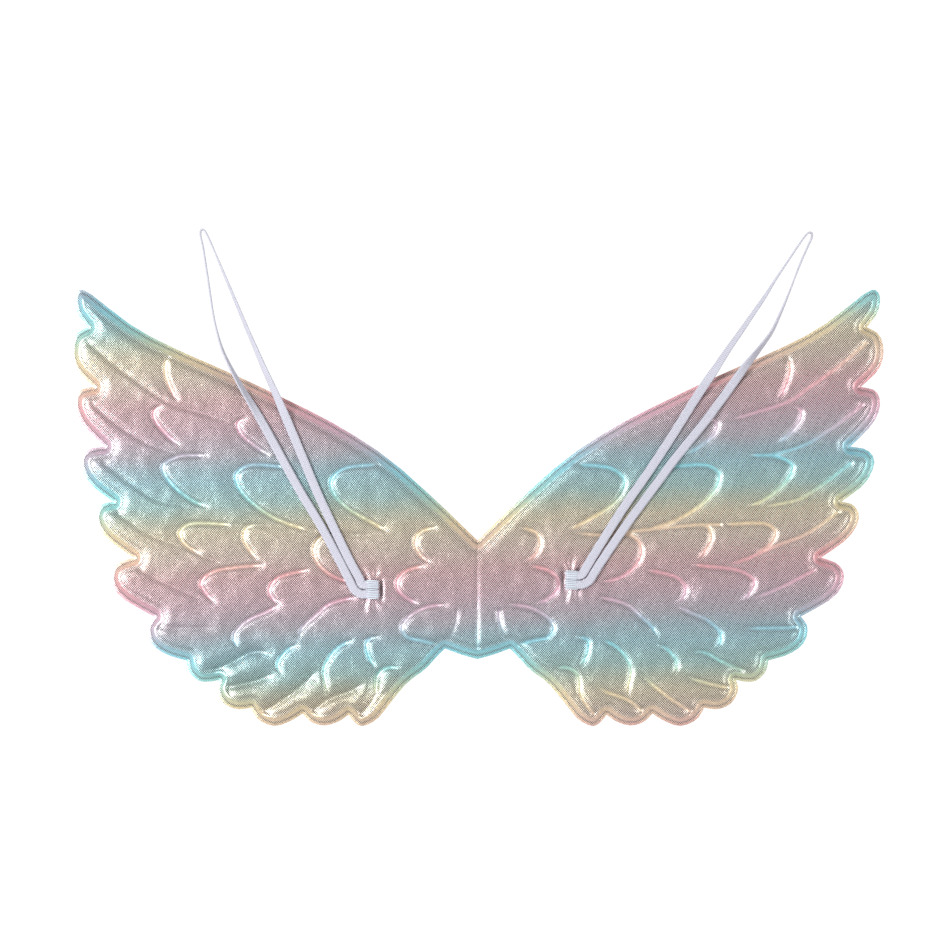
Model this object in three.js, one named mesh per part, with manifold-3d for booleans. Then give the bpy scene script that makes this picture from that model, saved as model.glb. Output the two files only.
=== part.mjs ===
// Costume fairy wings: a heat-embossed laminate of fabric, foam and fabric, creased down the middle,
// with two elastic arm loops, each bar-tacked to one wing.
// Millimetres. The wings lie flat with the strap side up: X across, Y from the lowest feathers to the
// top tips, Z up from the face that rests. The origin is on that face, in the middle of the wings.
import * as THREE from 'three';
import { mergeVertices } from 'three/addons/utils/BufferGeometryUtils.js';
import Module from 'manifold-3d';

const wasm = await Module();
wasm.setup();
const { degToRad } = THREE.MathUtils;
const v2 = (x, y) => new THREE.Vector2(x, y);
const up = new THREE.Vector3(0, 0, 1);

// Driving sizes
const wingReach = 231;          // crease to the outermost feather tip
const wingHeight = 248.3;       // lowest feather to the top tip
const padHeight = 6;            // resting face to the top of the padding
const fabricThickness = 0.5;
const squeezedFoam = 0.5;       // foam left under an embossed valley
const rimWidth = 3;             // flat welded border around the padding
const valleyWidth = 2;          // embossed line between two long feathers
const foldAngle = 150;          // how far the wings close on each other
const strapWidth = 5;
const strapThickness = 1;
const strapEndLength = 7;       // sewn down under the tack
const tackWidth = 6;            // along the sewn strap ends
const tackHeight = 10.4;        // across both strap ends
const threadThickness = 0.6;
const stitchWidth = 0.6;        // one column of needle holes
const stitchHeight = 3;         // the column's length on one strap end
const clearance = 0.3;          // between pieces that touch
const tackPlaces = { left: [-59.6, -46.3], right: [53.4, -40.9] };

// Heights of the layers, from the resting face up
const foamBase = fabricThickness + clearance;
const rimTop = foamBase + fabricThickness;
const valleyFloor = foamBase + squeezedFoam + clearance + fabricThickness;
const strapBase = padHeight + clearance;
const tackBase = strapBase + strapThickness + clearance;
const tackPocket = threadThickness + clearance;    // room under the back fabric for the thread
const overshoot = 1;                               // cutters reach past what they cut
const foldMargin = 1;                              // degrees kept open between the closed wings

// The wing's outline is drawn at this reach and height, and stretched to the driving sizes.
const drawn = { reach: 231, height: 248.3 };
const stretch = ([x, y]) => v2(x * wingReach / drawn.reach, y * wingHeight / drawn.height);

// Each row is one smooth stretch, starting where the last one ends; the rows meet at sharp notches.
const outlineStart = [0, -18.5];
const outlineRows = [
  [[20, 0.8], [50, 27.5], [80, 47], [110, 62.3], [140, 76.5], [170, 89.7], [195, 102.7], [219, 121]],
  [[225.5, 124.2], [229, 120], [227.5, 111], [221.5, 102.7]],
  [[228.5, 98.5], [231, 89], [228, 78.5], [218, 68.8]],
  [[226.5, 66.5], [229, 58.5], [224.5, 47.5], [212, 34.8]],
  [[221.5, 33], [225.8, 26], [220.5, 14], [207, 3.5]],
  [[214, 1.5], [217, -6], [211, -17], [195.5, -28.3]],
  [[205, -32], [208.5, -39.5], [203, -50.5], [184, -61.8]],
  [[187.8, -68], [185.5, -77], [177, -83.3], [165.5, -86.8]],
  [[164, -93], [158.5, -98.3], [152, -98.8], [147, -97.8]],
  [[148.3, -103.5], [144.5, -111], [137, -114.5], [129, -113.7]],
  [[124.5, -120.5], [115.5, -124.1], [106.5, -121.3], [99.5, -117]],
  [[94.5, -121.8], [87, -123.8], [79, -121.5], [73.5, -117.7]],
  [[69, -122.8], [64.5, -124], [57, -120], [50, -111.5], [40, -99.5], [30, -92], [23, -84.5], [18.5, -80]],
  [[9, -83.5], [0, -86]],
];

// Embossed valleys between the long feathers, from each notch inwards
const valleyRows = [
  [[221, 93.7], [204, 79.5], [188, 68], [154, 53], [137, 47.7]],
  [[218.7, 58.7], [205.4, 48], [187, 36.4], [170.4, 31], [152, 28.7]],
  [[212, 25.3], [195.4, 12.8], [170.4, 2], [155.4, -0.5]],
  [[204.5, -2.8], [187, -14.7], [148.8, -30.4], [135.4, -33]],
  [[191.2, -35.4], [175.4, -43.7], [148.8, -54.5]],
  [[180.4, -68], [145.4, -68.7]],
  [[150, -92], [140, -88], [128, -82], [115, -83]],
  [[141, -102], [125, -98], [113, -92.5]],
  [[121, -115.5], [112, -110], [100, -101], [89, -90]],
  [[93, -115], [86, -109.5], [72, -104], [62, -98]],
  [[66, -117], [60, -109], [57, -100], [55, -92]],
];

// The arm loops' centre lines, in millimetres: x, y, z, and the strap's lean from flat (0) to on edge (90).
const loopRows = {
  left: [
    [-64.4, -43.65, 6.8, 0], [-65.6, -43.3, 6.8, 0], [-67.2, -39.8, 6.8, 0], [-72.5, -30, 6.8, 0],
    [-82.2, -10, 6.8, 0], [-91.5, 10, 6.8, 0], [-99.8, 30, 6.8, 0], [-108.2, 50, 6.8, 0],
    [-115, 65.8, 7.2, 10], [-118, 72.5, 7, 30], [-121.5, 80, 6, 50], [-125.8, 90, 4.4, 65],
    [-130.2, 100, 3.4, 72], [-138.6, 120, 2.8, 83], [-147, 140, 2.7, 90], [-151.3, 150, 2.7, 90],
    [-153.6, 155, 2.7, 90], [-155.6, 158.1, 2.7, 90], [-157.2, 157.9, 2.7, 90], [-157.5, 155, 2.7, 90],
    [-156.2, 149, 2.7, 90], [-153.2, 130, 2.7, 90], [-150.2, 110, 2.8, 90], [-148, 100, 3.4, 90],
    [-144.9, 90, 5.2, 88], [-140.4, 80.3, 7.6, 86], [-137, 74, 8.6, 58], [-134.6, 69.6, 8.3, 40],
    [-131.9, 65, 7.7, 20], [-128.9, 60, 7.2, 10], [-123, 50, 6.8, 0], [-112.3, 30.5, 6.8, 0],
    [-101, 10, 6.8, 0], [-89, -10, 6.8, 0], [-78, -30.6, 6.8, 0], [-72.9, -40.6, 6.8, 0],
    [-69.5, -46.8, 6.8, 0], [-65.8, -48.95, 6.8, 0], [-64.4, -48.95, 6.8, 0],
  ],
  right: [
    [57.9, -38.25, 6.8, 0], [59.2, -37.7, 6.8, 0], [61.1, -35, 6.8, 0], [64, -30, 6.8, 0],
    [82.9, 0, 6.8, 0], [96.8, 20, 6.8, 0], [110, 40, 6.8, 0], [122.5, 60, 6.8, 0],
    [129, 70, 6.9, 2], [135.8, 80, 7, 30], [142.4, 90, 5.4, 50], [149.5, 100, 4.2, 60],
    [156.4, 110, 3.3, 68], [163.3, 120, 2.9, 76], [169.6, 130, 2.75, 86], [176.3, 140, 2.7, 90],
    [183, 150, 2.7, 90], [186.2, 154.4, 2.7, 90], [188.3, 156.5, 2.7, 90], [190, 156.1, 2.7, 90],
    [190, 153.5, 2.7, 90], [188, 149, 2.7, 90], [184, 140, 2.7, 90], [176.2, 120, 2.75, 88],
    [172, 110, 3, 86], [167.2, 100, 4.4, 83], [163.7, 95, 5.8, 76], [159.8, 90, 7.4, 66],
    [155.8, 85, 8.2, 45], [151.8, 80, 7.9, 28], [144.7, 70, 6.95, 5], [130, 50, 6.8, 0],
    [113.8, 30, 6.8, 0], [99, 10, 6.8, 0], [84.3, -10, 6.8, 0], [70.5, -30.3, 6.8, 0],
    [66.9, -35.9, 6.8, 0], [63.2, -41.6, 6.8, 0], [59.4, -43.5, 6.8, 0], [57.9, -43.55, 6.8, 0],
  ],
};
const loopSteps = 76;

const finishes = {
  frontFabric: { color: 0xb3a8b4, roughness: 0.35, metalness: 0.6 },
  backFabric: { color: 0x9fb6c4, roughness: 0.35, metalness: 0.6 },
  foam: { color: 0xf4f1ea, roughness: 0.95, metalness: 0 },
  elastic: { color: 0xdedaea, roughness: 0.8, metalness: 0 },
  thread: { color: 0xe9edf0, roughness: 0.7, metalness: 0 },
};

// ---- Solids and booleans ----

function solid(geometry) {
  const bare = geometry.clone();
  bare.deleteAttribute('normal');
  bare.deleteAttribute('uv');
  const merged = mergeVertices(bare, 1e-4);
  return new wasm.Manifold(new wasm.Mesh({
    numProp: 3,
    vertProperties: new Float32Array(merged.attributes.position.array),
    triVerts: new Uint32Array(merged.index.array),
  }));
}

function meshOf(name, shape, finish) {
  const { vertProperties, triVerts } = shape.getMesh();
  const geometry = new THREE.BufferGeometry();
  geometry.setAttribute('position', new THREE.BufferAttribute(vertProperties, 3));
  geometry.setIndex(new THREE.BufferAttribute(triVerts, 1));
  return named(name, geometry, finish);
}

function named(name, geometry, finish) {
  geometry.computeVertexNormals();
  const mesh = new THREE.Mesh(geometry, new THREE.MeshStandardMaterial(finishes[finish]));
  mesh.name = name;
  return mesh;
}

function prism(points, base, top) {
  const shape = new THREE.Shape(withoutStraightPoints(points));
  const geometry = new THREE.ExtrudeGeometry(shape, { depth: top - base, bevelEnabled: false });
  return solid(geometry.translate(0, 0, base));
}

// Leaves out points that coincide with the last one kept, or that lie on a straight side
function withoutStraightPoints(points) {
  const apart = points.filter((p, i) => p.distanceTo(points[(i + points.length - 1) % points.length]) > 0.01);
  return apart.filter((p, i) => {
    const before = apart[(i + apart.length - 1) % apart.length].clone().sub(p);
    const after = apart[(i + 1) % apart.length].clone().sub(p);
    return Math.abs(before.cross(after)) > 1e-4 * before.length() * after.length();
  });
}

function block(centre, width, height, base, top) {
  const geometry = new THREE.BoxGeometry(width, height, top - base);
  return solid(geometry.translate(centre.x, centre.y, (base + top) / 2));
}

// ---- Outlines ----

function wingOutline(sign) {
  const path = new THREE.Path();
  const start = stretch(outlineStart);
  path.moveTo(clearance / 2, start.y);
  outlineRows.forEach((row) => path.splineThru(row.map(stretch)));
  const points = path.getPoints(2).map((p) => v2(sign * Math.max(p.x, clearance / 2), p.y));
  return THREE.ShapeUtils.isClockWise(points) ? points.reverse() : points;
}

// Moves each side of a counter-clockwise outline inwards. A sharp corner moves up to twice the distance,
// and a point that ends up nearer to the outline than the distance is left out, as at a narrow tip.
function inset(points, distance) {
  const count = points.length;
  const moved = points.map((point, i) => {
    const before = point.clone().sub(points[(i + count - 1) % count]).normalize();
    const after = points[(i + 1) % count].clone().sub(point).normalize();
    const inward = v2(-before.y - after.y, before.x + after.x).normalize();
    const reach = Math.min(2, 1 / Math.max(0.1, inward.dot(v2(-before.y, before.x))));
    return point.clone().addScaledVector(inward, distance * reach);
  });
  return moved.filter((point) => distanceToOutline(point, points) > 0.999 * distance);
}

function distanceToOutline(point, points) {
  const side = new THREE.Line3();
  const flat = (p) => new THREE.Vector3(p.x, p.y, 0);
  const nearest = new THREE.Vector3();
  return Math.min(...points.map((start, i) => {
    side.set(flat(start), flat(points[(i + 1) % points.length]));
    return side.closestPointToPoint(flat(point), true, nearest).distanceTo(flat(point));
  }));
}

// A strip of even width along a row of points, its ends square
function strip(row, halfWidth) {
  const curve = new THREE.SplineCurve(row);
  const sides = curve.getPoints(row.length - 1).map((point, i, all) => {
    const along = curve.getTangent(i / (all.length - 1));
    const past = i === 0 ? -halfWidth : i === all.length - 1 ? halfWidth : 0;
    const middle = point.clone().addScaledVector(along, past);
    const aside = v2(-along.y, along.x).multiplyScalar(halfWidth);
    return [middle.clone().add(aside), middle.sub(aside)];
  });
  return [...sides.map((pair) => pair[0]), ...sides.map((pair) => pair[1]).reverse()];
}

// ---- One wing's layers ----

// What has to come off above the padding beside the crease, so that the closed wings don't meet
function creaseBevel(sign, skin) {
  const slope = Math.tan(degToRad((180 - foldAngle) / 2 - foldMargin));
  const top = padHeight + overshoot;
  const start = rimTop - skin;
  const wedge = new THREE.Shape([v2(0, start), v2((top - start) / slope, top), v2(0, top)]);
  const geometry = new THREE.ExtrudeGeometry(wedge, { depth: 2 * wingHeight, bevelEnabled: false });
  geometry.rotateX(Math.PI / 2).translate(0, wingHeight, 0);
  if (sign < 0) geometry.rotateZ(Math.PI);
  return solid(geometry);
}

// The puffed volume that lies `skin` below the strap-side surface
function padding(outline, sign, skin) {
  let shape = prism(inset(outline, rimWidth + skin), foamBase, padHeight - skin);
  valleyRows.forEach((row) => {
    const centre = row.map((p) => stretch(p)).map((p) => v2(sign * p.x, p.y));
    const valley = strip(centre, valleyWidth / 2 + skin);
    shape = shape.subtract(prism(valley, valleyFloor - skin, padHeight + overshoot));
  });
  return shape.subtract(creaseBevel(sign, skin));
}

// Where the bar tack's columns of stitches go through: one on each side of the middle of each strap end
function stitchPlaces(tack) {
  const aside = tackWidth / 2 - stitchWidth;
  const across = (strapWidth + clearance) / 2;
  return [-aside, aside].flatMap((dx) => [-across, across].map((dy) => v2(tack.x + dx, tack.y + dy)));
}

function stitches(tack, base, top, room) {
  return stitchPlaces(tack).map((place) => {
    return block(place, stitchWidth + 2 * room, stitchHeight + 2 * room, base, top);
  });
}

function pierced(shape, tack) {
  const through = stitches(tack, -overshoot, tackBase + overshoot, clearance);
  return through.reduce((rest, hole) => rest.subtract(hole), shape);
}

// The back fabric is drawn in over the tack's thread, so that the resting face stays flat.
function backFabric(outline, tack) {
  const roomWidth = tackWidth + 2 * clearance;
  const roomHeight = tackHeight + 2 * clearance;
  const wall = 2 * fabricThickness;
  const dimple = block(tack, roomWidth + wall, roomHeight + wall, 0, tackPocket + fabricThickness);
  const room = block(tack, roomWidth, roomHeight, -overshoot, tackPocket);
  return pierced(prism(outline, 0, fabricThickness).add(dimple).subtract(room), tack);
}

function foamCore(outline, sign, tack) {
  const skin = fabricThickness + clearance;
  const wall = 2 * (clearance + fabricThickness + clearance);
  const roomTop = tackPocket + fabricThickness + clearance;
  const room = block(tack, tackWidth + wall, tackHeight + wall, 0, roomTop);
  return pierced(padding(outline, sign, skin).subtract(room), tack);
}

function frontFabric(outline, sign, tack) {
  const rim = prism(outline, foamBase, rimTop);
  const hollow = padding(outline, sign, fabricThickness);
  const opened = hollow.add(hollow.translate(0, 0, -clearance));
  return pierced(rim.add(padding(outline, sign, 0)).subtract(opened), tack);
}

// ---- Straps and tacks ----

function strapEnd(tack, side) {
  const centre = v2(tack.x, tack.y + side * (strapWidth + clearance) / 2);
  return pierced(block(centre, strapEndLength, strapWidth, strapBase, strapBase + strapThickness), tack);
}

function barTack(tack) {
  const top = block(tack, tackWidth, tackHeight, tackBase, tackBase + threadThickness);
  const bottom = block(tack, tackWidth, tackHeight, 0, threadThickness);
  const legs = stitches(tack, 0, tackBase + threadThickness, 0);
  return legs.reduce((whole, leg) => whole.add(leg), top.add(bottom));
}

// A flat ribbon swept along the loop's centre line and leant over by each point's lean
function strapLoop(rows) {
  const centreLine = rows.map(([x, y, z]) => new THREE.Vector3(x, y, z));
  const curve = new THREE.CatmullRomCurve3(centreLine, false, 'centripetal');
  const geometry = new THREE.BoxGeometry(strapWidth, strapThickness, 1, 1, 1, loopSteps);
  const position = geometry.attributes.position;
  const corner = new THREE.Vector3();
  for (let i = 0; i < position.count; i += 1) {
    corner.fromBufferAttribute(position, i);
    const at = THREE.MathUtils.clamp(corner.z + 0.5, 0, 1);
    const place = curve.getPoint(at);
    const along = curve.getTangent(at);
    const aside = along.clone().cross(up).normalize();
    const above = aside.clone().cross(along).normalize();
    const lean = degToRad(leanAt(rows, at));
    const across = aside.clone().multiplyScalar(Math.cos(lean)).addScaledVector(above, Math.sin(lean));
    const out = along.clone().cross(across).normalize();
    place.addScaledVector(across, corner.x).addScaledVector(out, corner.y);
    position.setXYZ(i, place.x, place.y, place.z);
  }
  return geometry;
}

function leanAt(rows, at) {
  const step = at * (rows.length - 1);
  const from = Math.min(Math.floor(step), rows.length - 2);
  return THREE.MathUtils.lerp(rows[from][3], rows[from + 1][3], step - from);
}

// ---- Assembly ----

function wing(side, sign) {
  const outline = wingOutline(sign);
  const tack = v2(...tackPlaces[side]);
  const group = new THREE.Group();
  group.add(
    meshOf(`${side}_front_fabric`, frontFabric(outline, sign, tack), 'frontFabric'),
    meshOf(`${side}_foam_core`, foamCore(outline, sign, tack), 'foam'),
    meshOf(`${side}_back_fabric`, backFabric(outline, tack), 'backFabric'),
    meshOf(`${side}_strap_end_upper`, strapEnd(tack, 1), 'elastic'),
    meshOf(`${side}_strap_end_lower`, strapEnd(tack, -1), 'elastic'),
    meshOf(`${side}_bar_tack`, barTack(tack), 'thread'),
    named(`${side}_strap_loop`, strapLoop(loopRows[side]), 'elastic'),
  );
  return group;
}

const wings = new THREE.Group();
wings.add(wing('left', -1), wing('right', 1));
export default wings;
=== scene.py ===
"""Costume fairy wings lying flat on white, seen from straight above: two padded, heat-embossed wings of
iridescent foil fabric with a narrow white elastic arm loop bar-tacked to each.

The drawing below is in millimetres. One wing is drawn with x counted outwards from the centre crease,
and the other wing is its mirror image. The finished meshes are in metres, in the row frame."""

import math

import bpy
import numpy as np
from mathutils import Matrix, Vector
from mathutils.geometry import delaunay_2d_cdt


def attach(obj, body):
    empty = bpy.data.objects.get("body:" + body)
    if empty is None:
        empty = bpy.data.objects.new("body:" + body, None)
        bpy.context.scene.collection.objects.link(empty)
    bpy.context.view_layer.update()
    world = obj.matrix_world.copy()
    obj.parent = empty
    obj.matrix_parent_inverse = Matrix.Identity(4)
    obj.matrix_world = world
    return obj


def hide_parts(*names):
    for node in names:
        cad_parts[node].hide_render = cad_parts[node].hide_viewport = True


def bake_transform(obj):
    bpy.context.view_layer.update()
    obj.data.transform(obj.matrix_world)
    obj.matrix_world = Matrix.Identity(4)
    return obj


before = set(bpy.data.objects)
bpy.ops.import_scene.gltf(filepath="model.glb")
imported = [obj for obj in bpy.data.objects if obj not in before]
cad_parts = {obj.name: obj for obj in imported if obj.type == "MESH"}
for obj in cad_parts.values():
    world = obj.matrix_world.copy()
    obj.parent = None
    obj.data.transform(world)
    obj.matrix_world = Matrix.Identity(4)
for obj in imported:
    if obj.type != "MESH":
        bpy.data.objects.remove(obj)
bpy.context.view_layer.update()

MM = 0.001
SIDES = {"left": -1, "right": 1}
REACH, HEIGHT = 231, 248.3      # one wing: crease to the outermost tip, lowest feather to the top tip

# The camera looks straight down at a square field this wide, centred on this point.
FIELD_WIDTH = 539.6
FIELD_CENTRE = (-1.4, 18.7)
LENS, SENSOR = 200, 36
FIELD_HEIGHT = 5                # the height above the rest face at which the field is that wide

# ---- The padding's relief ----

GRID = 0.5                      # the height map's cell
GRID_X = np.arange(-4, 237, GRID)
GRID_Y = np.arange(-129, 129, GRID)
FACET = 0.95                    # spacing of the fabric's vertices
WELD_HEIGHT = 0.6               # where front and back fabric meet at the rim
FLAT_SQUARE = 250               # the fabric's UV map covers a square this wide
TOP = 5.9                       # the padding stays below this, clear of the straps

# The display side rests at a level. Where the front is lower than BACK_FLAT, it is drawn in by a share.
BACK_LEVEL, BACK_FLAT, BACK_SHARE = 0.05, 5.4, 0.25
TACK_DIMPLE = 0.8               # how far the tack's thread draws it in
FOAM_FACET = 2.5                # spacing of the foam's vertices
FOAM_MARGIN = 2.2               # how far the foam stays from the rim
FOAM_CELLS = 3                  # the foam keeps clear of the fabric this many cells around too
FOAM_UNDER_FRONT, FOAM_OVER_BACK = 0.35, 0.1

# The front's height against distance from the outline: flat weld, rolled edge, shallow groove, field
EDGE_PROFILE = [
    (0, 0.6), (1.7, 0.8), (2.0, 1.1), (3.9, 4.0), (4.7, 4.6), (5.3, 4.5), (5.9, 4.2), (6.8, 4.8),
    (7.8, 5.3), (10, 5.6),
]

# Against distance from the outline: how dark the weld is, and where the dots are missing and the colour is
# brighter and more saturated: on the flat weld the pressed fabric, on the rolled edge's bank a painted
# highlight
WELD_SHADE = [(0, 0.25), (0.3, 0), (1.1, 0), (1.5, 0.2), (1.9, 0.2), (2.4, 0)]
WELD_BARE_AND_HIGHLIGHT = [(0, 0.65), (1.1, 0.65), (1.5, 0.1), (2.0, 0.1), (2.8, 0.5), (4.4, 0.5), (5.2, 0)]
# Between these depths of the valleys the dots are missing too, up to this share: partly the heat-pressed
# fabric, partly a painted highlight on the grooves' steep walls.
PRESSED_AND_HIGHLIGHT_DEPTHS, PRESSED_AND_HIGHLIGHT_SHARE = (0.7, 1.5), 0.55
# The dots take the rainbow's colour down to this grey by this share.
GREY, GREYED = (0.5, 0.5, 0.5, 1), 0.3

# Straight-ish valleys between the long feathers, from each notch inwards, and the lobes' borders
LINES = [
    [(221, 93.7), (204, 79.5), (188, 68), (178, 61), (154, 53), (137, 47.7)],
    [(218.7, 58.7), (205.4, 48), (187, 36.4), (170.4, 31), (152, 28.7)],
    [(212, 25.3), (195.4, 12.8), (183.7, 5.3), (170.4, 2), (155.4, -0.5)],
    [(204.5, -2.8), (187, -14.7), (170.4, -21.3), (148.8, -30.4), (135.4, -33)],
    [(191.2, -35.4), (175.4, -43.7), (162, -49.6), (148.8, -54.5)],
    [(180.4, -68), (145.4, -68.7)],
    [(150, -92), (140, -88), (128, -82), (115, -83)],
    [(141, -102), (125, -98), (113, -92.5)],
    [(121, -115.5), (112, -110), (100, -101), (89, -90)],
    [(93, -115), (86, -109.5), (72, -104), (62, -98)],
    [(66, -117), (60, -109), (57, -100), (55, -92)],
    [(12, -59), (13, -66), (18, -78)],
    [(138, -9.5), (124, -9.7), (91, -13), (71, -15.3), (49, -13.6)],
]

# Rounded ends of the short feathers, each drawn from its upper end round the tip to its lower end
ARCS = [
    [(175.5, 88), (177.8, 78.5), (173, 64.5), (170, 60)],
    [(178, 59), (184, 55), (183.5, 50), (174, 39), (168, 35)],
    [(130, 52), (136.5, 48), (134.5, 42), (127, 35.5), (117, 28.7)],
    [(152, 30), (171, 29), (179, 24), (178, 19), (172.5, 12), (162, 4), (152, 0)],
    [(106, 23), (131, 24), (137.5, 19), (135.5, 11), (126, 1), (113, -7), (95, -13)],
    [(54, 25), (77, 22), (83.5, 15.5), (82, 8.5), (75.5, 1), (59, -9), (50, -14)],
    [(138, -9.5), (165, -9.5), (169.5, -14), (167, -20), (155, -28)],
    [(124, -9.5), (131.5, -11.5), (133, -17.5), (129, -25), (123.5, -31)],
    [(78, -14), (89, -16.5), (93.3, -23), (91.3, -31), (82, -39), (69, -43)],
    [(22, -10.5), (33, -14), (35.8, -20), (32.5, -27), (25.5, -32)],
    [(120, -32), (151, -36.5), (157.5, -42.5), (155, -48), (148, -55)],
    [(94, -34.5), (114, -40), (118.5, -46), (117, -51), (111, -55.5)],
    [(27.5, -32), (42, -36.5), (46, -42), (45, -47), (40, -51.5), (31, -56)],
    [(111, -54), (120, -59), (131, -64), (138, -71), (138.5, -75), (134.5, -81.5)],
    [(67, -50), (85, -55), (92, -61), (99.5, -68), (103, -75)],
    [(16, -54.5), (31, -57), (41, -63.5), (43.3, -68.7), (40, -73.5), (34, -75), (20.5, -78)],
    [(101, -77), (108, -80.5), (113.5, -88), (113, -92), (110, -96)],
    [(54, -73), (62.5, -75), (63, -81), (60, -88), (56, -92)],
    [(69, -74), (79, -79), (85, -86), (87.5, -93), (86, -101), (85, -108)],
    [(42, -91), (52, -91), (57, -95), (58, -103), (56, -109)],
]
CREASE = [(0, -90), (0, -10)]
# Depth, half width, and the length over which each kind of valley fades out
LINE_DEPTH, LINE_BANK, LINE_FADE = 1.7, 2.8, 14
CREASE_DEPTH, CREASE_BANK, CREASE_FADE = 1.25, 2.0, 90
# A feather's round end: depth, the inner bank's width, the outer step's, the rise beyond it, the fade
ARC_DEPTH, ARC_BANK, ARC_STEP, ARC_RISE, ARC_FADE = 2.0, 3.2, 1.6, 9, 7
# The left wing's lowest feathers sag more deeply beside these of the lines.
SAGGING, SAG_DEPTH, SAG_BANK, SAG_FADE = slice(6, 11), 2.2, 7, 8
LINE_SHARE = {"left": 0.5, "right": 1}      # the left wing's lines are pressed less deeply, and carry less painted highlight
CREASE_GAP = 0.3                # the CAD halves stop short of the crease by less than this

# The bar tacks, in wing drawing coordinates, and how they gather the padding
TACKS = {"left": (59.6, -46.3), "right": (53.4, -40.9)}
TACK_WIDTH, TACK_HEIGHT = 7.6, 10.2
STRAND_GAP = 2.65               # from the tack's middle to each strap end's middle
STRAP_END = 3.5                 # from the tack's middle to the ends of the elastic
GATHER_DEPTH = 2.4              # how far the stitches draw the padding down at their ends
# Above and below the tack the padding puckers: small folds, this many in a turn, that lead away from it.
PUCKER_DEPTH, PUCKERS_ROUND, PUCKER_BEND, PUCKER_SQUASH = 0.7, 9, 0.12, 0.75
PUCKER_START = {"left": 0.6, "right": 2.1}
PUCKER_AWAY, PUCKER_HEIGHT, PUCKER_WIDTH = 8.5, 4.5, 5      # how far away, and over what area

# Soft wrinkles of the padding: depth, and half the width of each bump in cells
WRINKLES = [(0.35, 6), (0.2, 3)]
WRINKLE_SEED = {"left": 11, "right": 29}
WRINKLE_START, WRINKLE_RISE = 7, 6      # from the outline: where they start, and over how far they grow
WRINKLE_FREE = 12               # they fade out within this distance of the crease

# ---- The elastic arm loops ----

STRAP_WIDTH, STRAP_THICKNESS = 5, 1
STRAP_LEVEL = 6.8               # the middle of the elastic where it lies on the wing
# x, y, z and lean (0 flat, 90 on edge) along each loop's middle, in millimetres
LOOPS = {
    "left": [
        (-64.4, -43.65, 6.8, 0), (-65.6, -43.3, 6.8, 0), (-67.2, -39.8, 6.8, 0), (-72.5, -30, 6.8, 0),
        (-82.2, -10, 6.8, 0), (-91.5, 10, 6.8, 0), (-99.8, 30, 6.8, 0), (-108.2, 50, 7, 5),
        (-115, 65.8, 7.8, 40), (-118, 72.5, 7.3, 50), (-121.5, 80, 6.2, 56), (-125.8, 90, 4.6, 64),
        (-130.2, 100, 3.4, 70), (-138.6, 120, 2.8, 78), (-147, 140, 2.7, 86), (-151.3, 150, 2.7, 90),
        (-153.6, 155, 2.7, 90), (-155.6, 158.1, 2.7, 90), (-157.2, 157.9, 2.7, 90),
        (-157.5, 155, 2.7, 90), (-156.2, 149, 2.7, 90), (-153.2, 130, 2.7, 90),
        (-150.2, 110, 2.8, 90), (-148, 100, 3.4, 88), (-144.9, 90, 5, 82), (-140.4, 80.3, 7.2, 74),
        (-137, 74, 8.2, 66), (-134.6, 69.6, 8.3, 60), (-131.9, 65, 8.1, 54), (-128.9, 60, 7.8, 42),
        (-123, 50, 7.1, 15), (-112.3, 30.5, 6.8, 0), (-101, 10, 6.8, 0), (-89, -10, 6.8, 0),
        (-78, -30.6, 6.8, 0), (-72.9, -40.6, 6.8, 0), (-69.5, -46.8, 6.8, 0),
        (-65.8, -48.95, 6.8, 0), (-64.4, -48.95, 6.8, 0),
    ],
    "right": [
        (57.9, -38.25, 6.8, 0), (59.2, -37.7, 6.8, 0), (61.1, -35, 6.8, 0), (64, -30, 6.8, 0),
        (82.9, 0, 6.8, 0), (96.8, 20, 6.8, 0), (110, 40, 6.8, 0), (122.5, 60, 6.8, 0),
        (129, 70, 6.9, 2), (135.8, 80, 7, 30), (142.4, 90, 5.4, 50), (149.5, 100, 4.2, 60),
        (156.4, 110, 3.3, 68), (163.3, 120, 2.9, 76), (169.6, 130, 2.75, 86), (176.3, 140, 2.7, 90),
        (183, 150, 2.7, 90), (186.2, 154.4, 2.7, 90), (188.3, 156.5, 2.7, 90), (190, 156.1, 2.7, 90),
        (190, 153.5, 2.7, 90), (188, 149, 2.7, 90), (184, 140, 2.7, 90), (176.2, 120, 2.75, 84),
        (172, 110, 3, 78), (167.2, 100, 4.2, 72), (163.7, 95, 5.4, 66), (159.8, 90, 6.8, 58),
        (155.8, 85, 7.8, 45), (151.8, 80, 7.8, 28), (144.7, 70, 6.95, 5), (130, 50, 6.8, 0),
        (113.8, 30, 6.8, 0), (99, 10, 6.8, 0), (84.3, -10, 6.8, 0), (70.5, -30.3, 6.8, 0),
        (66.9, -35.9, 6.8, 0), (63.2, -41.6, 6.8, 0), (59.4, -43.5, 6.8, 0), (57.9, -43.55, 6.8, 0),
    ],
}


# ---- Curves and height maps ----


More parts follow.
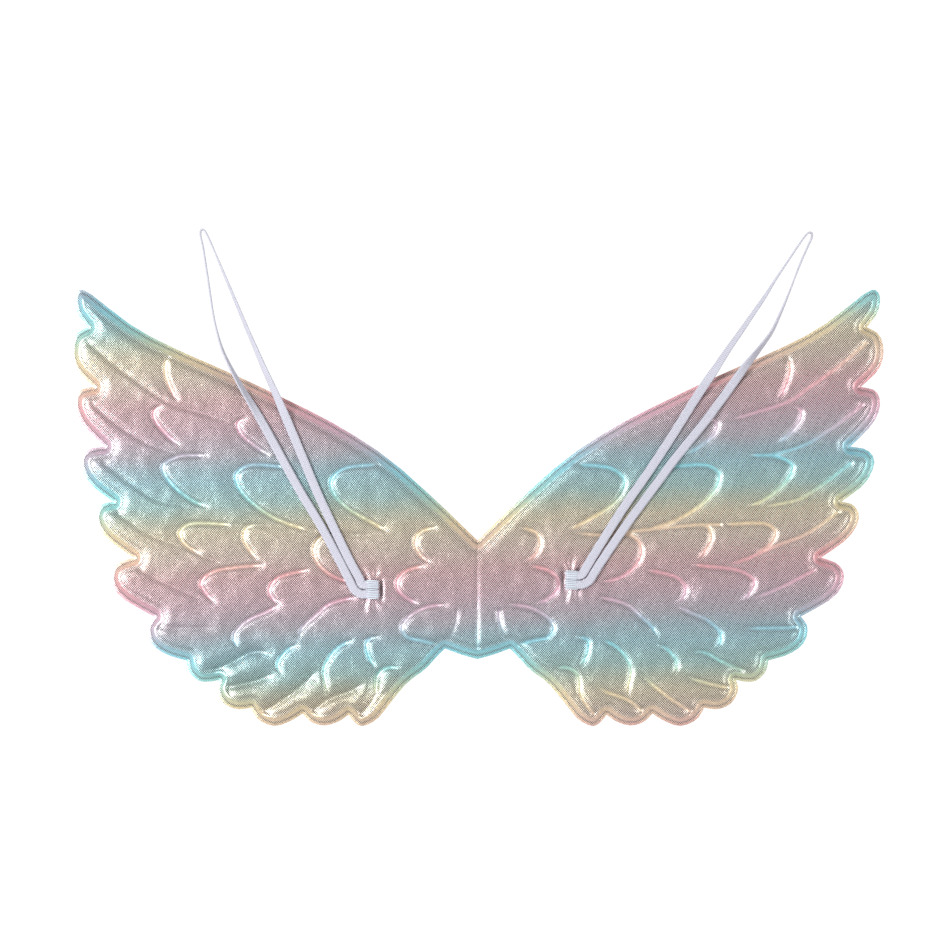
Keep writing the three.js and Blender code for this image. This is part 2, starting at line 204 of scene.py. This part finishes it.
def smooth_line(rows, step):
    """Points about step apart on the centripetal Catmull-Rom curve through the rows."""
    rows = np.array(rows, float)
    rows = np.vstack([2 * rows[0] - rows[1], rows, 2 * rows[-1] - rows[-2]])
    found = []
    for four in zip(rows, rows[1:], rows[2:], rows[3:]):
        gaps = [math.sqrt(np.linalg.norm((b - a)[:3])) for a, b in zip(four, four[1:])]
        k0, k1, k2, k3 = 0, gaps[0], sum(gaps[:2]), sum(gaps)
        count = max(2, round(np.linalg.norm((four[2] - four[1])[:3]) / step))
        t = np.linspace(k1, k2, count, endpoint=False)[:, None]
        a1 = (four[0] * (k1 - t) + four[1] * (t - k0)) / (k1 - k0)
        a2 = (four[1] * (k2 - t) + four[2] * (t - k1)) / (k2 - k1)
        a3 = (four[2] * (k3 - t) + four[3] * (t - k2)) / (k3 - k2)
        b1 = (a1 * (k2 - t) + a2 * (t - k0)) / (k2 - k0)
        b2 = (a2 * (k3 - t) + a3 * (t - k1)) / (k3 - k1)
        found.append((b1 * (k2 - t) + b2 * (t - k1)) / (k2 - k1))
    return np.vstack(found + [rows[-2:-1]])


def nearest(line, reach):
    """For every cell: the distance to the line, at most reach, the side it is on, positive to the left
    of the line's direction, and the length along the line to the nearest place. Last, its whole length."""
    distance = np.full((len(GRID_Y), len(GRID_X)), float(reach))
    side = np.ones_like(distance)
    along = np.zeros_like(distance)
    done = 0.0
    for start, end in zip(line, line[1:]):
        low, high = np.minimum(start, end) - reach, np.maximum(start, end) + reach
        columns = slice(*np.searchsorted(GRID_X, [low[0], high[0]]))
        rows = slice(*np.searchsorted(GRID_Y, [low[1], high[1]]))
        x, y = np.meshgrid(GRID_X[columns] - start[0], GRID_Y[rows] - start[1])
        dx, dy = end - start
        length = math.hypot(dx, dy)
        share = np.clip((x * dx + y * dy) / length**2, 0, 1)
        here = np.hypot(x - share * dx, y - share * dy)
        closer = here < distance[rows, columns]
        distance[rows, columns][closer] = here[closer]
        side[rows, columns][closer] = np.sign(dx * y - dy * x)[closer]
        along[rows, columns][closer] = (done + share * length)[closer]
        done += length
    return distance, side, along, done


def blurred(field, cells, times=2):
    """The field averaged over squares of 2 * cells + 1 cells, several times over."""
    for _ in range(times):
        for axis in (0, 1):
            shifted = [np.roll(field, step, axis) for step in range(-cells, cells + 1)]
            field = sum(shifted) / len(shifted)
    return field


def soft_noise(seed, cells):
    """Random bumps of about cells wide, from -1 to 1."""
    field = blurred(np.random.default_rng(seed).normal(size=(len(GRID_Y), len(GRID_X))), cells)
    return field / np.abs(field).max()


def valley(line, depth, bank, fade):
    """A V-shaped valley, fading out over this length at its inner end."""
    distance, _, along, length = nearest(smooth_line(line, 2), bank)
    kept = np.clip((length - along) / fade, 0, 1)
    return depth * np.clip(1 - distance / bank, 0, 1) ** 1.3 * kept


def feather_end(arc):
    """The step at a short feather's round end: a broad rounded bank inside, a steep low step outside."""
    distance, side, along, length = nearest(smooth_line(arc, 2), ARC_RISE)
    inside = np.clip(1 - distance / ARC_BANK, 0, 1) ** 1.6
    step = np.clip(1 - distance / ARC_STEP, 0, 1)
    rise = np.clip(1 - distance / ARC_RISE, 0, 1)
    outside = 0.7 * step + 0.3 * rise
    fade = np.clip(np.minimum(along, length - along) / ARC_FADE, 0, 1)
    return ARC_DEPTH * np.where(side < 0, inside, outside) * fade


def mould(outline):
    """What both wings share: the distance from the outline, and the lines' depth and the rest's."""
    edge = nearest(outline, 14)[0]
    lines = np.maximum.reduce([valley(line, LINE_DEPTH, LINE_BANK, LINE_FADE) for line in LINES])
    ends = np.maximum.reduce([feather_end(arc) for arc in ARCS])
    crease = valley(CREASE, CREASE_DEPTH, CREASE_BANK, CREASE_FADE)
    return edge, lines, np.maximum(ends, crease)


def gathered(side, heights):
    """The padding drawn down at both ends of the tack's stitches, with puckers above and below it."""
    x, y = np.meshgrid(GRID_X - TACKS[side][0], GRID_Y - TACKS[side][1])
    ends = np.hypot((np.abs(x) - TACK_WIDTH / 2 - 0.4) / 1.6, y / 6)
    beside = GATHER_DEPTH * np.exp(-(ends**2))
    radius = np.hypot(x, y * PUCKER_SQUASH)
    angle = np.arctan2(y, x)
    above_and_below = np.exp(-(((np.abs(y) - PUCKER_AWAY) / PUCKER_HEIGHT) ** 2))
    beyond = above_and_below * np.exp(-((x / PUCKER_WIDTH) ** 2))
    turns = angle * PUCKERS_ROUND + radius * PUCKER_BEND + PUCKER_START[side]
    return heights - beside + PUCKER_DEPTH * np.sin(turns) * beyond


def wing_heights(side, edge, depth):
    """The side's own height map: the shared mould, its tack, and its own wrinkles."""
    shared = np.interp(edge, *zip(*EDGE_PROFILE)) - depth
    grown = np.clip((edge - WRINKLE_START) / WRINKLE_RISE, 0, 1) * np.clip(GRID_X / WRINKLE_FREE, 0, 1)
    seed = WRINKLE_SEED[side]
    wrinkles = sum(depth * soft_noise(seed + k, cells) for k, (depth, cells) in enumerate(WRINKLES))
    heights = gathered(side, shared) + wrinkles * grown
    if side == "left":
        sags = [valley(line, SAG_DEPTH, SAG_BANK, SAG_FADE) for line in LINES[SAGGING]]
        heights = heights - np.maximum.reduce(sags) * np.clip(edge / 6, 0, 1)
    past = int(np.searchsorted(GRID_X, 0))
    heights[:, :past] = heights[:, 2 * past:past:-1]
    heights = blurred(heights, 1, 1)
    weld = np.clip(edge / 1.5, 0, 1) * 0.3 + WELD_HEIGHT
    return np.clip(heights, weld, TOP)


def drawn_in(side, front_heights):
    """The display side's height map: drawn in a little under the valleys, and over the tack's thread."""
    x, y = np.meshgrid(GRID_X - TACKS[side][0], GRID_Y - TACKS[side][1])
    over_tack = np.clip(2.2 - 1.2 * np.hypot(x / 4.8, y / 6.4), 0, 1)
    under_valleys = np.clip(BACK_SHARE * (BACK_FLAT - front_heights), 0, WELD_HEIGHT - BACK_LEVEL)
    return BACK_LEVEL + np.maximum(under_valleys, TACK_DIMPLE * over_tack)


def sampled(field, points):
    """The field's values at the points, between its cells."""
    x = (points[:, 0] - GRID_X[0]) / GRID
    y = (points[:, 1] - GRID_Y[0]) / GRID
    column, row = np.floor(x).astype(int), np.floor(y).astype(int)
    x, y = x - column, y - row
    lower = field[row, column] * (1 - x) + field[row, column + 1] * x
    upper = field[row + 1, column] * (1 - x) + field[row + 1, column + 1] * x
    return lower * (1 - y) + upper * y


# ---- Meshes ----


def cad_outline(node):
    """The outline of a CAD sheet's rest face as (x, y) in millimetres, without its last point again."""
    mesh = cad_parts[node].data
    edges = {}
    for polygon in mesh.polygons:
        corners = [mesh.vertices[v].co for v in polygon.vertices]
        if max(c.z for c in corners) > 1e-6:
            continue
        keys = [(round(c.x / MM, 3), round(c.y / MM, 3)) for c in corners]
        for start, end in zip(keys, keys[1:] + keys[:1]):
            if edges.get(end) and start in edges[end]:
                edges[end].remove(start)
            else:
                edges.setdefault(start, []).append(end)
    loops = []
    while any(edges.values()):
        start = next(key for key, ends in edges.items() if ends)
        loop = [start]
        while edges[loop[-1]]:
            loop.append(edges[loop[-1]].pop())
        loops.append(loop[:-1])
    outline = np.array(max(loops, key=len), float)
    outline[outline[:, 0] < CREASE_GAP, 0] = 0
    return outline


def outside_the_crease(loop):
    """The outline's points from one end of the crease round the wing to the other."""
    on_crease = loop[:, 0] < 0.01
    first = next(i for i in range(len(loop)) if on_crease[i - 1] and not on_crease[i])
    turned = np.roll(loop, 1 - first, axis=0)
    count = int(np.sum(~on_crease)) + 2
    return turned[:count]


def subdivided(loop, step):
    """The closed loop with its long edges cut into pieces no longer than step."""
    found = []
    for start, end in zip(loop, np.roll(loop, -1, axis=0)):
        count = max(1, math.ceil(np.linalg.norm(end - start) / step))
        found.extend(start + (end - start) * k / count for k in range(count))
    return np.array(found)


def filled(outline, edge, step):
    """A triangle mesh of the outline's inside: points about step apart, and the triangles."""
    inside = []
    for number, y in enumerate(np.arange(GRID_Y[0] + 4, GRID_Y[-1] - 4, step * math.sqrt(0.75))):
        x = np.arange(1, REACH, step) + (number % 2) * step / 2
        inside.append(np.column_stack([x, np.full_like(x, y)]))
    inside = np.vstack(inside)
    inside = inside[(sampled(edge, inside) > 0.6 * step) & (inside[:, 0] > 0.6 * step)]
    corners = [Vector(point) for point in np.vstack([outline, inside])]
    ring = list(range(len(outline)))
    points, _, faces, *_ = delaunay_2d_cdt(corners, [], [ring], 1, 1e-5)
    used, faces = np.unique(np.array([tuple(face) for face in faces]), return_inverse=True)
    return np.array([tuple(point) for point in points])[used], faces.reshape(-1, 3)


def mesh_object(name, points, faces, smooth=True):
    """A mesh of these points, in millimetres in the row frame, and faces."""
    mesh = bpy.data.meshes.new(name)
    mesh.from_pydata(np.asarray(points) * MM, [], faces)
    mesh.polygons.foreach_set("use_smooth", [smooth] * len(mesh.polygons))
    mesh.update()
    made = bpy.data.objects.new(name, mesh)
    bpy.context.scene.collection.objects.link(made)
    return made


def store(obj, name, values):
    """A number or a vector for each vertex, which the materials read."""
    values = np.asarray(values, np.float32)
    kind, key = ("FLOAT", "value") if values.ndim == 1 else ("FLOAT_VECTOR", "vector")
    obj.data.attributes.new(name, kind, "POINT").data.foreach_set(key, values.ravel())


def unwrap(obj, flat):
    """A UV map from each vertex's flat place, from 0 to 1."""
    corners = np.zeros(len(obj.data.loops), np.int32)
    obj.data.loops.foreach_get("vertex_index", corners)
    layer = obj.data.uv_layers.new(name="flat")
    layer.data.foreach_set("uv", np.asarray(flat, np.float32)[corners].ravel())


def finished(obj, material):
    """Gives a piece its material slot and its material."""
    obj.data.materials.append(material)
    return obj


def across_crease(obj):
    """Bakes the half's transform into its mesh; nothing is bent here."""
    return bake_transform(obj)


def sheet_mesh(name, side, points, faces, z):
    """One fabric half, turned so that its normals follow z upwards on both sides."""
    x = points[:, 0] * SIDES[side]
    if SIDES[side] < 0:
        faces = faces[:, ::-1]
    made = mesh_object(name, np.column_stack([x, points[:, 1], z]), faces.tolist())
    store(made, "rest", np.column_stack([x, points[:, 1], z]))
    unwrap(made, points / FLAT_SQUARE + (0, 0.5))
    return made


def tube(line, frames, section):
    """Points and faces of a section swept along the line, with its two directions at each point."""
    across, out = frames
    count = len(section)
    points = [line[i] + across[i] * a + out[i] * b for i in range(len(line)) for a, b in section]
    faces = []
    for i in range(len(line) - 1):
        for j in range(count):
            k = (j + 1) % count
            faces.append((i * count + j, i * count + k, (i + 1) * count + k, (i + 1) * count + j))
    faces.append(tuple(range(count))[::-1])
    faces.append(tuple((len(line) - 1) * count + j for j in range(count)))
    return np.array(points), faces


def unit(vectors):
    return vectors / np.linalg.norm(vectors, axis=-1, keepdims=True)


# ---- Materials ----


def srgb(*channels):
    """Linear colour from sRGB channels, 0 to 1."""
    linear = [c / 12.92 if c <= 0.04045 else ((c + 0.055) / 1.055) ** 2.4 for c in channels]
    return (*linear, 1)


def add(tree, kind, inputs=(), **settings):
    """A node with these inputs, each a value or another node's output, given by number or by name."""
    made = tree.nodes.new(kind)
    for name, value in settings.items():
        setattr(made, name, value)
    pairs = inputs.items() if isinstance(inputs, dict) else enumerate(inputs)
    for key, value in pairs:
        if isinstance(value, bpy.types.NodeSocket):
            tree.links.new(value, made.inputs[key])
        elif value is not None:
            made.inputs[key].default_value = value
    return made


def maths(tree, operation, *values):
    return add(tree, "ShaderNodeMath", values, operation=operation).outputs[0]


def mixed(tree, share, first, second, blend="MIX"):
    inputs = {0: share, 6: first, 7: second}
    return add(tree, "ShaderNodeMix", inputs, data_type="RGBA", blend_type=blend).outputs[2]


def new_material(name):
    made = bpy.data.materials.new(name)
    made.use_nodes = True
    made.node_tree.nodes.clear()
    return made, made.node_tree


def surface(tree, inputs):
    shader = add(tree, "ShaderNodeBsdfPrincipled", inputs)
    add(tree, "ShaderNodeOutputMaterial", {"Surface": shader.outputs[0]})


# The rainbow repeats down the wings; each colour is at a share of the period, from one blue to the next.
BAND_PERIOD, BAND_TILT, BAND_START = 100, 0.042, 20.3
BAND_WAVER = 8                  # how far the bands stray from straight, at most
BANDS = [
    (0.00, (0.59, 0.80, 0.84)), (0.12, (0.62, 0.79, 0.77)), (0.20, (0.75, 0.79, 0.69)),
    (0.28, (0.87, 0.81, 0.68)), (0.42, (0.86, 0.76, 0.69)), (0.55, (0.86, 0.67, 0.68)),
    (0.70, (0.82, 0.67, 0.72)), (0.84, (0.72, 0.70, 0.75)), (0.92, (0.62, 0.75, 0.80)),
]
DOT_COLOUR = (0.03, 0.033, 0.032, 1)
# The foil's two sets of fine diagonal lines, in cycles a millimetre
WEAVE = [(0.739, 0.757), (0.801, -0.660)]
DOT_EDGE, DOT_LEVEL = 8, -3.85  # how steep the dots' edges are, and how large this makes the dots
GLITTER, DULLEST = 1.0, 0.97    # how much the foil's brightness varies, and where it starts
BARE_AND_HIGHLIGHT_DIMMED, BARE_AND_HIGHLIGHT_VIVID = 0.2, 0.5      # where the dots are missing: the ground darker and more colourful, partly a painted highlight
WELD_DARKNESS = 0.6
DOT_BUMP, CRINKLE_BUMP = 0.08, 0.24


def foil_fabric(name):
    """Iridescent foil fabric: rainbow bands under a lattice of fine dots, with a crinkled shine, and
    dotless bright bands that are partly a painted highlight.
    """
    made, tree = new_material(name)
    rest = add(tree, "ShaderNodeAttribute", attribute_name="rest").outputs["Vector"]
    split = add(tree, "ShaderNodeSeparateXYZ", [rest])
    x, y = split.outputs[0], split.outputs[1]

    waver = add(tree, "ShaderNodeTexNoise", {"Vector": rest, "Scale": 0.03, "Detail": 2}).outputs["Fac"]
    down = maths(tree, "SUBTRACT", maths(tree, "MULTIPLY_ADD", x, BAND_TILT, BAND_START), y)
    down = maths(tree, "MULTIPLY_ADD", waver, BAND_WAVER, maths(tree, "SUBTRACT", down, BAND_WAVER / 2))
    phase = maths(tree, "FRACT", maths(tree, "DIVIDE", down, BAND_PERIOD))
    ramp = add(tree, "ShaderNodeValToRGB", [phase])
    stops = ramp.color_ramp.elements
    stops[0].position, stops[0].color = BANDS[0][0], srgb(*BANDS[0][1])
    stops[1].position, stops[1].color = 1, srgb(*BANDS[0][1])
    for place, colour in BANDS[1:]:
        stops.new(place).color = srgb(*colour)

    waves = []
    for fx, fy in WEAVE:
        turns = maths(tree, "MULTIPLY_ADD", x, fx, maths(tree, "MULTIPLY", y, fy))
        waves.append(maths(tree, "COSINE", maths(tree, "MULTIPLY", turns, 2 * math.pi)))
    dots = maths(tree, "MULTIPLY_ADD", maths(tree, "ADD", *waves), 0.25, 0.5)
    glitter = add(tree, "ShaderNodeTexNoise", {"Vector": rest, "Scale": 1.1, "Detail": 1}).outputs["Fac"]
    weld = add(tree, "ShaderNodeAttribute", attribute_name="weld").outputs["Fac"]
    # This attribute marks the dotless, brighter, more saturated bands: partly pressed fabric, partly a
    # painted highlight on tilted banks.
    bare_and_highlight = add(tree, "ShaderNodeAttribute", attribute_name="bare_and_highlight").outputs["Fac"]
    edging = [dots, DOT_EDGE, DOT_LEVEL]
    crisp = add(tree, "ShaderNodeMath", edging, operation="MULTIPLY_ADD", use_clamp=True).outputs[0]
    sparkle = maths(tree, "MULTIPLY_ADD", glitter, GLITTER, DULLEST)
    bright = maths(tree, "MULTIPLY", sparkle, maths(tree, "MULTIPLY_ADD", bare_and_highlight, -BARE_AND_HIGHLIGHT_DIMMED, 1))
    vivid = maths(tree, "MULTIPLY_ADD", bare_and_highlight, BARE_AND_HIGHLIGHT_VIVID, 1)
    rainbow = add(tree, "ShaderNodeHueSaturation", {"Saturation": vivid, "Color": ramp.outputs[0]})
    greyed = mixed(tree, maths(tree, "MULTIPLY_ADD", bare_and_highlight, -GREYED, GREYED), rainbow.outputs[0], GREY)
    ground = add(tree, "ShaderNodeVectorMath", [greyed], operation="SCALE")
    tree.links.new(bright, ground.inputs["Scale"])
    dotted = maths(tree, "MULTIPLY", maths(tree, "SUBTRACT", 1, crisp), maths(tree, "SUBTRACT", 1, bare_and_highlight))
    dark_share = maths(tree, "MULTIPLY_ADD", weld, WELD_DARKNESS, dotted)
    colour = mixed(tree, dark_share, ground.outputs[0], DOT_COLOUR)

    rough = {"Vector": rest, "Scale": 0.5, "Detail": 5, "Roughness": 0.7}
    crinkle = add(tree, "ShaderNodeTexNoise", rough).outputs["Fac"]
    crinkled = maths(tree, "MULTIPLY", crinkle, CRINKLE_BUMP)
    height = maths(tree, "MULTIPLY_ADD", dots, DOT_BUMP, crinkled)
    bump = add(tree, "ShaderNodeBump", {"Strength": 0.8, "Distance": 0.001, "Height": height})
    surface(tree, {
        "Base Color": colour,
        "Metallic": 0.55,
        "Roughness": 0.38,
        "Normal": bump.outputs[0],
    })
    return made


ROW_PITCH, CORD_PITCH = 1.1, 1.0        # the elastic's knitted rows across it, and the cords along it


def elastic_material():
    """Narrow white knitted elastic: cords along it, and fine rows across, with painted shade in the
    hollows between them.
    """
    made, tree = new_material("elastic")
    rest = add(tree, "ShaderNodeAttribute", attribute_name="rest").outputs["Vector"]
    split = add(tree, "ShaderNodeSeparateXYZ", [rest])
    rows = maths(tree, "SINE", maths(tree, "MULTIPLY", split.outputs[0], 2 * math.pi / ROW_PITCH))
    cords = maths(tree, "SINE", maths(tree, "MULTIPLY", split.outputs[1], 2 * math.pi / CORD_PITCH))
    height = maths(tree, "MULTIPLY_ADD", cords, 0.6, rows)
    bump = add(tree, "ShaderNodeBump", {"Strength": 0.6, "Distance": 0.0002, "Height": height})
    # Painted shade: the colour is a little darker in the hollows between cords and rows, and lighter on
    # their tops.
    rib_shade = maths(tree, "MULTIPLY_ADD", height, 0.04, 0.93)
    colour = add(tree, "ShaderNodeVectorMath", [srgb(0.74, 0.74, 0.79)[:3]], operation="SCALE")
    tree.links.new(rib_shade, colour.inputs["Scale"])
    surface(tree, {"Base Color": colour.outputs[0], "Roughness": 0.75, "Normal": bump.outputs[0]})
    return made


def plain(name, colour, roughness):
    made, tree = new_material(name)
    surface(tree, {"Base Color": srgb(*colour), "Roughness": roughness})
    return made


# ---- The camera, the white ground and the light ----

GROUND_GLOW, SURROUND_GLOW = 1.05, 0.48
GROUND_HALF, GROUND_LEVEL = 6000, -0.2
# Direction from the wings, and power in watts
LIGHTS = {"key": ((-1, 0.1, 1.05), 64), "fill": ((1, -0.15, 0.6), 24)}
LIGHT_DISTANCE, LIGHT_WIDTH, LIGHT_LENGTH = 2.2, 0.7, 1.4

camera_data = bpy.data.cameras.new("camera")
camera_data.lens = LENS
camera_data.sensor_width = SENSOR
camera_data.clip_end = 20
camera = bpy.data.objects.new("camera", camera_data)
camera_height = FIELD_WIDTH * MM * LENS / SENSOR + FIELD_HEIGHT * MM
camera.location = (FIELD_CENTRE[0] * MM, FIELD_CENTRE[1] * MM, camera_height)
bpy.context.scene.collection.objects.link(camera)
bpy.context.scene.camera = camera

ground_material, ground_tree = new_material("white_ground")
ground_glow = add(ground_tree, "ShaderNodeEmission", {"Color": (1, 1, 1, 1), "Strength": GROUND_GLOW})
add(ground_tree, "ShaderNodeOutputMaterial", {"Surface": ground_glow.outputs[0]})
ground_signs = [(-1, -1), (1, -1), (1, 1), (-1, 1)]
ground_corners = [(x * GROUND_HALF, y * GROUND_HALF, GROUND_LEVEL) for x, y in ground_signs]
ground = mesh_object("ground", ground_corners, [(0, 1, 2, 3)])
ground.data.materials.append(ground_material)

world = bpy.data.worlds.new("surround")
world.use_nodes = True
world.node_tree.nodes["Background"].inputs[0].default_value = (1, 1, 1, 1)
world.node_tree.nodes["Background"].inputs[1].default_value = SURROUND_GLOW
bpy.context.scene.world = world


def area_light(name, direction, power):
    """A light in this direction from the wings, facing them; its length lies level."""
    data = bpy.data.lights.new(name, "AREA")
    data.shape = "RECTANGLE"
    data.size, data.size_y = LIGHT_LENGTH, LIGHT_WIDTH
    data.energy = power
    made = bpy.data.objects.new(name, data)
    towards = Vector(direction).normalized()
    made.location = towards * LIGHT_DISTANCE
    made.rotation_euler = towards.to_track_quat("Z", "Y").to_euler()
    bpy.context.scene.collection.objects.link(made)


for light, (direction, power) in LIGHTS.items():
    area_light(light, direction, power)
bpy.context.scene.view_settings.view_transform = "Standard"

# ---- The wings ----

outline = subdivided(cad_outline("right_back_fabric"), FACET)
edge_line = outside_the_crease(outline)
rim_distance, line_depth, end_depth = mould(edge_line)
points, faces = filled(outline, rim_distance, FACET)
on_outline = np.arange(len(points)) < len(outline)
on_rim = on_outline & ((points[:, 0] > 0.01) | (sampled(rim_distance, points) < 0.6))

front_foil = foil_fabric("front_foil")
back_foil = foil_fabric("back_foil")
white_foam = plain("white_foam", (0.95, 0.94, 0.92), 0.95)
white_thread = plain("white_thread", (0.80, 0.84, 0.87), 0.6)
elastic = elastic_material()


def fabrics(side, valley_depth, front_heights, back_heights):
    """The two fabric halves of one wing, welded to each other along the rim."""
    rim = sampled(rim_distance, points)
    weld = np.interp(rim, *zip(*WELD_SHADE))
    # Dotless, brighter, more saturated bands: the pressed weld and grooves, and a painted highlight on the
    # tilted banks beside them.
    pressed_and_highlight = np.interp(sampled(valley_depth, points), PRESSED_AND_HIGHLIGHT_DEPTHS, (0, PRESSED_AND_HIGHLIGHT_SHARE))
    bare_and_highlight = np.maximum(np.interp(rim, *zip(*WELD_BARE_AND_HIGHLIGHT)), pressed_and_highlight)
    layers = [
        ("front", front_heights, faces, front_foil),
        ("back", back_heights, faces[:, ::-1], back_foil),
    ]
    for layer, heights, triangles, foil in layers:
        z = np.where(on_rim, WELD_HEIGHT, sampled(heights, points))
        made = sheet_mesh(f"{side}_{layer}", side, points, triangles, z)
        store(made, "weld", weld)
        store(made, "bare_and_highlight", bare_and_highlight)
        finished(made, foil)
        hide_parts(f"{side}_{layer}_fabric")
        across_crease(made)


def extreme_nearby(pick, field, cells):
    """The lowest or the highest of the cells around each cell."""
    for axis in (0, 1):
        field = pick.reduce([np.roll(field, step, axis) for step in range(-cells, cells + 1)])
    return field


def foam_core(side, front_heights, back_heights):
    """The foam between the fabrics: thin under the valleys, and kept inside the welded rim."""
    flat, triangles = filled(outline, rim_distance, FOAM_FACET)
    kept = np.all(sampled(rim_distance, flat)[triangles] > FOAM_MARGIN, axis=1)
    used, triangles = np.unique(triangles[kept], return_inverse=True)
    flat, triangles = flat[used], triangles.reshape(-1, 3)
    bottom = sampled(extreme_nearby(np.maximum, back_heights, FOAM_CELLS), flat) + FOAM_OVER_BACK
    top = sampled(extreme_nearby(np.minimum, front_heights, FOAM_CELLS), flat) - FOAM_UNDER_FRONT
    top = np.maximum(top, bottom + 0.1)
    count = len(flat)
    edges = {(a, b) for t in triangles for a, b in zip(t, np.roll(t, -1))}
    border = [(a, b) for a, b in edges if (b, a) not in edges]
    walls = [(b, a, a + count, b + count) for a, b in border]
    x = flat[:, 0] * SIDES[side]
    solid = np.vstack([np.column_stack([x, flat[:, 1], z]) for z in (top, bottom)])
    skin = [*triangles.tolist(), *(triangles[:, ::-1] + count).tolist(), *walls]
    if SIDES[side] < 0:
        skin = [face[::-1] for face in skin]
    made = mesh_object(f"{side}_foam", solid, skin)
    finished(made, white_foam)
    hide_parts(f"{side}_foam_core")
    across_crease(made)


def arm_loop(side):
    """One length of elastic: sewn down at both ends, and a free loop between them."""
    mirror = SIDES[side]
    tack_x, tack_y = TACKS[side][0] * mirror, TACKS[side][1]
    sewn = [tack_x - STRAP_END * mirror, tack_x, tack_x + STRAP_END * mirror]
    first = [(x, tack_y + STRAND_GAP, STRAP_LEVEL, 0) for x in sewn]
    last = [(x, tack_y - STRAND_GAP, STRAP_LEVEL, 0) for x in reversed(sewn)]
    line = smooth_line([*first, *LOOPS[side], *last], 1)
    centre, lean = line[:, :3], np.radians(np.clip(line[:, 3:], 0, 90))
    along = unit(np.gradient(centre, axis=0))
    aside = unit(np.cross(along, (0, 0, 1)))
    above = np.cross(aside, along)
    across = np.cos(lean) * aside + np.sin(lean) * above
    out = np.cross(along, across)
    half_width, half_thickness, corner = STRAP_WIDTH / 2, STRAP_THICKNESS / 2, 0.3
    flats = np.linspace(-half_width + corner, half_width - corner, 6)
    section = [(-half_width, 0), *((a, -half_thickness) for a in flats)]
    section += [(half_width, 0), *((a, half_thickness) for a in flats[::-1])]
    points, faces = tube(centre, (across, out), section)
    made = mesh_object(f"{side}_arm_loop", points, faces)
    steps = np.linalg.norm(np.diff(centre, axis=0), axis=1)
    place = np.concatenate([[0], np.cumsum(steps)])
    offsets = np.tile(np.array(section), (len(centre), 1))
    store(made, "rest", np.column_stack([np.repeat(place, len(section)), offsets]))
    finished(made, elastic)
    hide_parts(*(f"{side}_strap_{part}" for part in ("loop", "end_upper", "end_lower")))
    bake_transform(made)


def bar_tack(side):
    """White thread wound up and down through the wing, in close passes over both strap ends."""
    passes, radius = 9, 0.28
    tack_x, tack_y = TACKS[side][0] * SIDES[side], TACKS[side][1]
    uneven = np.random.default_rng(5 if side == "left" else 6)
    path = []
    for y in np.linspace(-TACK_HEIGHT / 2, TACK_HEIGHT / 2, passes):
        left, right = -TACK_WIDTH / 2 + uneven.uniform(0, 1), TACK_WIDTH / 2 - uneven.uniform(0, 1)
        slant = uneven.uniform(-0.5, 0.6)
        for x, z in [
            (left, 0.4), (left - 0.2, 3), (left + 0.1, 6.4), (left + 0.8, 7.6),
            (right - 0.8, 7.6), (right - 0.1, 6.4), (right + 0.2, 3), (right, 0.4),
        ]:
            path.append((tack_x + x, tack_y + y + slant * x / TACK_WIDTH, z))
    line = smooth_line(path, 0.6)
    line[:, 2] = np.maximum(line[:, 2], radius + 0.03)
    along = unit(np.gradient(line, axis=0))
    across = unit(np.cross(along, (0.05, 1, 0.02)))
    section = [(radius * math.cos(a), radius * math.sin(a)) for a in np.arange(6) * math.pi / 3]
    points, faces = tube(line, (across, np.cross(along, across)), section)
    made = mesh_object(f"{side}_tack", points, faces)
    finished(made, white_thread)
    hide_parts(f"{side}_bar_tack")
    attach(made, f"wing_{side}")


for side in SIDES:
    # The valleys' depth sets the relief, and also where the painted highlight lies along the grooves.
    valley_depth = np.maximum(LINE_SHARE[side] * line_depth, end_depth)
    front_heights = wing_heights(side, rim_distance, valley_depth)
    back_heights = drawn_in(side, front_heights)
    fabrics(side, valley_depth, front_heights, back_heights)
    foam_core(side, front_heights, back_heights)
    arm_loop(side)
    bar_tack(side)
